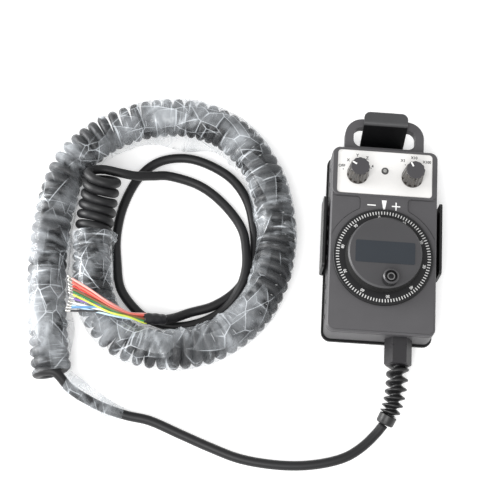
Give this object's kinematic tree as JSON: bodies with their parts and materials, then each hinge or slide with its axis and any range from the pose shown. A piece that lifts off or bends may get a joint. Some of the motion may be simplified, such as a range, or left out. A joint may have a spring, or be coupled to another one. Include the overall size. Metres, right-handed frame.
{
  "type": "pulse generator handwheel",
  "caption": "Handheld pulse generator: dial handwheel with spinner, two selector knobs, carrying loop, wall hanger and coiled cable with bare ends.",
  "frame": {"origin": "middle of the housing, on the back face of the hanger plate", "axes": "+X to the right of the face, +Y towards the carrying loop, +Z out of the face"},
  "size_m": [0.3293, 0.2989, 0.054],
  "materials": {
    "hanger_paint": "satin black powder coat on bent steel sheet",
    "housing_plastic": "fine-textured dark grey moulded ABS",
    "seal_rubber": "matt black rubber",
    "steel": "plain zinc-plated steel",
    "panel_white": "white film laid on a thin plate",
    "lamp_metal": "dull plated bezel",
    "lamp_glass": "clouded grey lens, lamp off",
    "switch_plastic": "black phenolic",
    "brass_nut": "nickel-plated brass",
    "board_green": "green solder mask on glass epoxy",
    "terminal_green": "green terminal housing",
    "can_metal": "turned aluminium",
    "disc_glass": "clear coded disc",
    "detent_nylon": "natural nylon",
    "dial_plastic": "black dial with white printed scale",
    "hub_plastic": "satin dark grey",
    "spinner_plastic": "satin dark grey",
    "knob_plastic": "fluted black knob with a satin top",
    "pointer_white": "white inlay",
    "gland_nylon": "black nylon",
    "relief_rubber": "black flexible nylon spiral",
    "cable_jacket": "black polyurethane jacket",
    "sleeve_shrink": "black heat-shrink sleeve",
    "film_clear": "thin clear polyethylene film, creased",
    "wire_insulation": "thin coloured PVC"
  },
  "bodies": {
    "hanger": {"hanger_bracket": "hanger_paint"},
    "pendant": {"front_cover": "housing_plastic", "back_shell": "housing_plastic", "housing_gasket": "seal_rubber", "cover_screws": "steel", "control_panel": "panel_white", "lamp_bezel": "lamp_metal", "lamp_lens": "lamp_glass", "axis_switch": "switch_plastic", "axis_switch_nut": "brass_nut", "multiplier_switch": "switch_plastic", "multiplier_switch_nut": "brass_nut", "circuit_board": "board_green", "board_screws": "steel", "terminal_blocks": "terminal_green", "encoder_can": "can_metal", "encoder_screws": "steel", "encoder_end_plate": "can_metal", "encoder_bearings": "steel", "sensor_board": "board_green", "detent_ball": "steel", "detent_spring": "steel", "gland_body": "gland_nylon", "gland_locknut": "gland_nylon", "gland_seal": "seal_rubber", "gland_nut": "gland_nylon", "spiral_relief": "relief_rubber", "cable_lead": "cable_jacket", "curly_cord": "cable_jacket", "cable_tail": "cable_jacket", "end_sleeve": "sleeve_shrink", "conductors": "wire_insulation", "packing_film": "film_clear"},
    "handwheel": {"wheel_shaft": "steel", "coded_disc": "disc_glass", "detent_wheel": "detent_nylon", "dial_ring": "dial_plastic", "wheel_hub": "hub_plastic", "hub_screws": "steel", "spinner_screw": "steel"},
    "spinner": {"spinner_knob": "spinner_plastic"},
    "axis_selector": {"axis_knob": "knob_plastic", "axis_knob_pointer": "pointer_white", "axis_switch_shaft": "steel"},
    "multiplier_selector": {"multiplier_knob": "knob_plastic", "multiplier_knob_pointer": "pointer_white", "multiplier_switch_shaft": "steel"}
  },
  "joints": [
    {"name": "pendant_lift", "type": "slide", "parent": "hanger", "child": "pendant", "axis": [0, 1, 0], "range_m": [0, 0.01]},
    {"name": "handwheel_turn", "type": "hinge", "parent": "pendant", "child": "handwheel", "pos_m": [0, -0.0155, 0.0303], "axis": [0, 0, 1], "continuous": true},
    {"name": "spinner_turn", "type": "hinge", "parent": "handwheel", "child": "spinner", "pos_m": [0.00391, -0.03766, 0.0484], "axis": [0, 0, 1], "continuous": true},
    {"name": "axis_select", "type": "hinge", "parent": "pendant", "child": "axis_selector", "pos_m": [-0.0222, 0.0545, 0.0303], "axis": [0, 0, 1], "range_deg": [-120, 0]},
    {"name": "multiplier_select", "type": "hinge", "parent": "pendant", "child": "multiplier_selector", "pos_m": [0.0222, 0.0545, 0.0303], "axis": [0, 0, 1], "range_deg": [-60, 0]}
  ]
}
